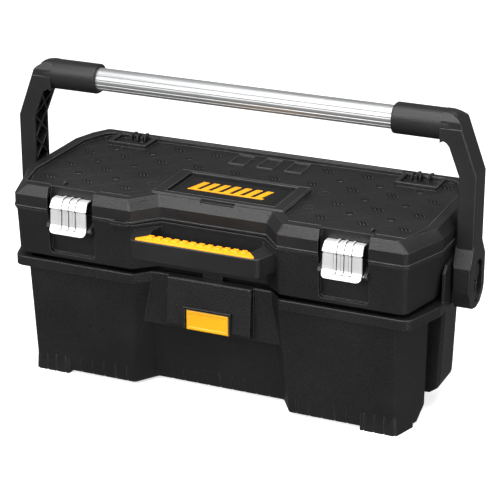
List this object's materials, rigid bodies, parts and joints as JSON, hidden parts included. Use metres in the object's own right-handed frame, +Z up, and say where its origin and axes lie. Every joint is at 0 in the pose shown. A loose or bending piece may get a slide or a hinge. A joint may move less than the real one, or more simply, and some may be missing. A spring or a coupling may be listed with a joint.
{
  "type": "toolbox",
  "caption": "Long black tote toolbox: open bin below, lift-off lidded case above with metal latches, tube carry handle, front grip and a sliding tray inside.",
  "frame": {"origin": "on the floor, at the middle of the bounding box's base", "axes": "+X along the length, +Y from the latched front to the hinged back, +Z up"},
  "size_m": [0.66, 0.2964, 0.4126],
  "materials": {
    "black_plastic": "fine texture",
    "plate_black": "smooth",
    "yellow_plastic": "satin",
    "tray_plastic": "satin",
    "latch_plate": "plated, satin",
    "tube_aluminium": "extruded, satin",
    "steel": "zinc plated"
  },
  "bodies": {
    "tote": {"tote_bin": "black_plastic", "button_bezel": "black_plastic", "button_spring": "steel", "pivot_pin_left": "steel", "pivot_pin_right": "steel"},
    "button": {"release_button": "yellow_plastic"},
    "carry_handle": {"handle_arm_left": "black_plastic", "handle_arm_right": "black_plastic", "handle_tube": "tube_aluminium", "pivot_cap_left": "black_plastic", "pivot_cap_right": "black_plastic", "tube_screw_left": "steel", "tube_screw_right": "steel"},
    "case": {"case_base": "black_plastic", "case_grip": "yellow_plastic", "case_catch": "black_plastic", "hinge_pin_left": "steel", "hinge_pin_right": "steel", "latch_pin_left": "steel", "latch_pin_right": "steel"},
    "lid": {"lid_shell": "black_plastic", "nameplate": "plate_black", "badge": "yellow_plastic", "latch_keeper_left": "black_plastic", "latch_keeper_right": "black_plastic"},
    "left_latch": {"latch_left": "latch_plate"},
    "right_latch": {"latch_right": "latch_plate"},
    "tray": {"half_tray": "tray_plastic", "tray_divider": "tray_plastic"}
  },
  "joints": [
    {"name": "handle_fold", "type": "hinge", "parent": "tote", "child": "carry_handle", "pos_m": [0, 0.016, 0.187], "axis": [-1, 0, 0], "range_deg": [0, 95]},
    {"name": "case_lift", "type": "slide", "parent": "tote", "child": "case", "axis": [0, 0, 1], "range_m": [0, 0.075]},
    {"name": "lid_open", "type": "hinge", "parent": "case", "child": "lid", "pos_m": [0, 0.1443, 0.2455], "axis": [-1, 0, 0], "range_deg": [0, 26]},
    {"name": "latch_left_open", "type": "hinge", "parent": "case", "child": "left_latch", "pos_m": [-0.19445, -0.118, 0.224], "axis": [1, 0, 0], "range_deg": [0, 150]},
    {"name": "latch_right_open", "type": "hinge", "parent": "case", "child": "right_latch", "pos_m": [0.19445, -0.118, 0.224], "axis": [1, 0, 0], "range_deg": [0, 150]},
    {"name": "tray_slide", "type": "slide", "parent": "case", "child": "tray", "axis": [1, 0, 0], "range_m": [0, 0.23]},
    {"name": "button_press", "type": "slide", "parent": "tote", "child": "button", "axis": [0, 1, 0], "range_m": [0, 0.004], "stiffness_N_per_m": 400, "springref_m": -0.002, "deforming": ["button_spring"]}
  ]
}
